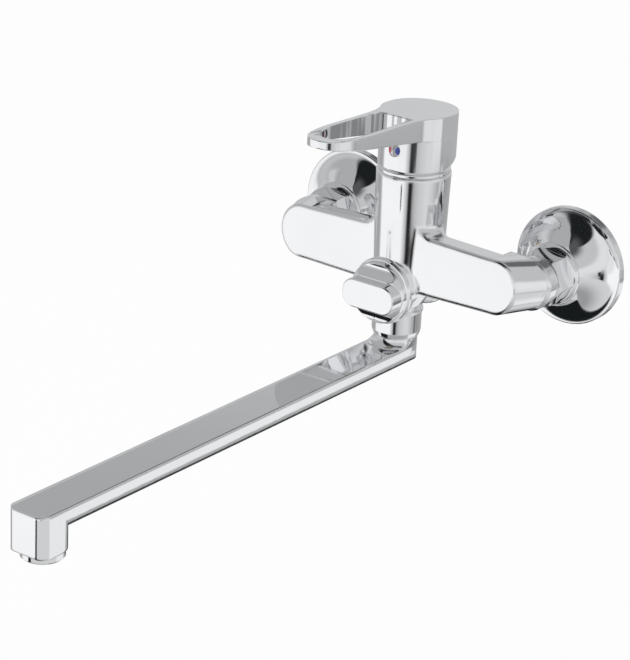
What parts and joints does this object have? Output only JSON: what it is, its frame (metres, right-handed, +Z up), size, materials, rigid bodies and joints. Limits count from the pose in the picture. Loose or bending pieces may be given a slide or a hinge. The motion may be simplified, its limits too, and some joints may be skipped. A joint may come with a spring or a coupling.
{
  "type": "bath mixer",
  "caption": "Wall-mounted single-lever bath mixer with a loop lever, long flat swivel spout, diverter knob and shower hose outlet.",
  "frame": {"origin": "on the wall plane, midway between the two wall threads", "axes": "+Y into the wall, +Z up, +X to the right as seen by someone facing the wall"},
  "size_m": [0.218, 0.3827, 0.1648],
  "materials": {
    "chrome": "bright chrome plate",
    "brass": "turned",
    "steel": "machined",
    "cartridge_plastic": "moulded",
    "nylon": "moulded",
    "ceramic": "lapped",
    "seal_rubber": "smooth",
    "index_hot": "glossy",
    "index_cold": "glossy"
  },
  "bodies": {
    "body": {"body_casting": "chrome", "cartridge_base": "cartridge_plastic", "cartridge_port_seals": "seal_rubber", "fixed_ceramic_disc": "ceramic", "cartridge_shell": "cartridge_plastic", "cartridge_retaining_nut": "brass", "dome_cap": "chrome", "spout_coupling_nut": "chrome", "diverter_bonnet": "brass", "diverter_collar": "chrome", "shower_outlet_bush": "brass", "shower_check_valve": "nylon", "wall_flange_left": "chrome", "eccentric_union_left": "brass", "union_nut_left": "chrome", "union_gasket_left": "seal_rubber", "inlet_nipple_left": "brass", "wall_flange_right": "chrome", "eccentric_union_right": "brass", "union_nut_right": "chrome", "union_gasket_right": "seal_rubber", "inlet_nipple_right": "brass"},
    "rotor": {"cartridge_rotor": "cartridge_plastic", "lever_pivot_pin": "steel"},
    "handle": {"handle_lever": "chrome", "handle_grub_screw": "steel", "index_plug_hot": "index_hot", "index_plug_cold": "index_cold", "lever_spindle": "steel"},
    "mixing_disc": {"disc_carrier": "cartridge_plastic", "moving_ceramic_disc": "ceramic"},
    "spout": {"swivel_spout": "chrome", "spout_slip_ring": "nylon", "spout_o_ring_upper": "seal_rubber", "spout_o_ring_lower": "seal_rubber", "aerator_housing": "chrome", "aerator_jet_plate": "nylon", "aerator_gasket": "seal_rubber"},
    "diverter": {"diverter_knob": "chrome", "diverter_knob_screw": "steel", "diverter_spindle": "brass", "diverter_disc": "ceramic"}
  },
  "joints": [
    {"name": "handle_swing", "type": "hinge", "parent": "body", "child": "rotor", "pos_m": [0, -0.0534, 0.045], "axis": [0, 0, 1], "range_deg": [-50, 50]},
    {"name": "handle_lift", "type": "hinge", "parent": "rotor", "child": "handle", "pos_m": [0, -0.0534, 0.05], "axis": [-1, 0, 0], "range_deg": [0, 20]},
    {"name": "disc_slide", "type": "slide", "parent": "rotor", "child": "mixing_disc", "axis": [0, -1, 0], "range_m": [0, 0.0062]},
    {"name": "spout_swivel", "type": "hinge", "parent": "body", "child": "spout", "pos_m": [0, -0.0617, -0.04], "axis": [0, 0, 1], "range_deg": [-90, 90]},
    {"name": "diverter_turn", "type": "hinge", "parent": "body", "child": "diverter", "pos_m": [0, -0.08, -0.0194], "axis": [0, 1, 0], "range_deg": [0, 90]}
  ],
  "couplings": [
    {"joint": "disc_slide", "follows": "handle_lift", "m_per_rad": 0.01774}
  ]
}
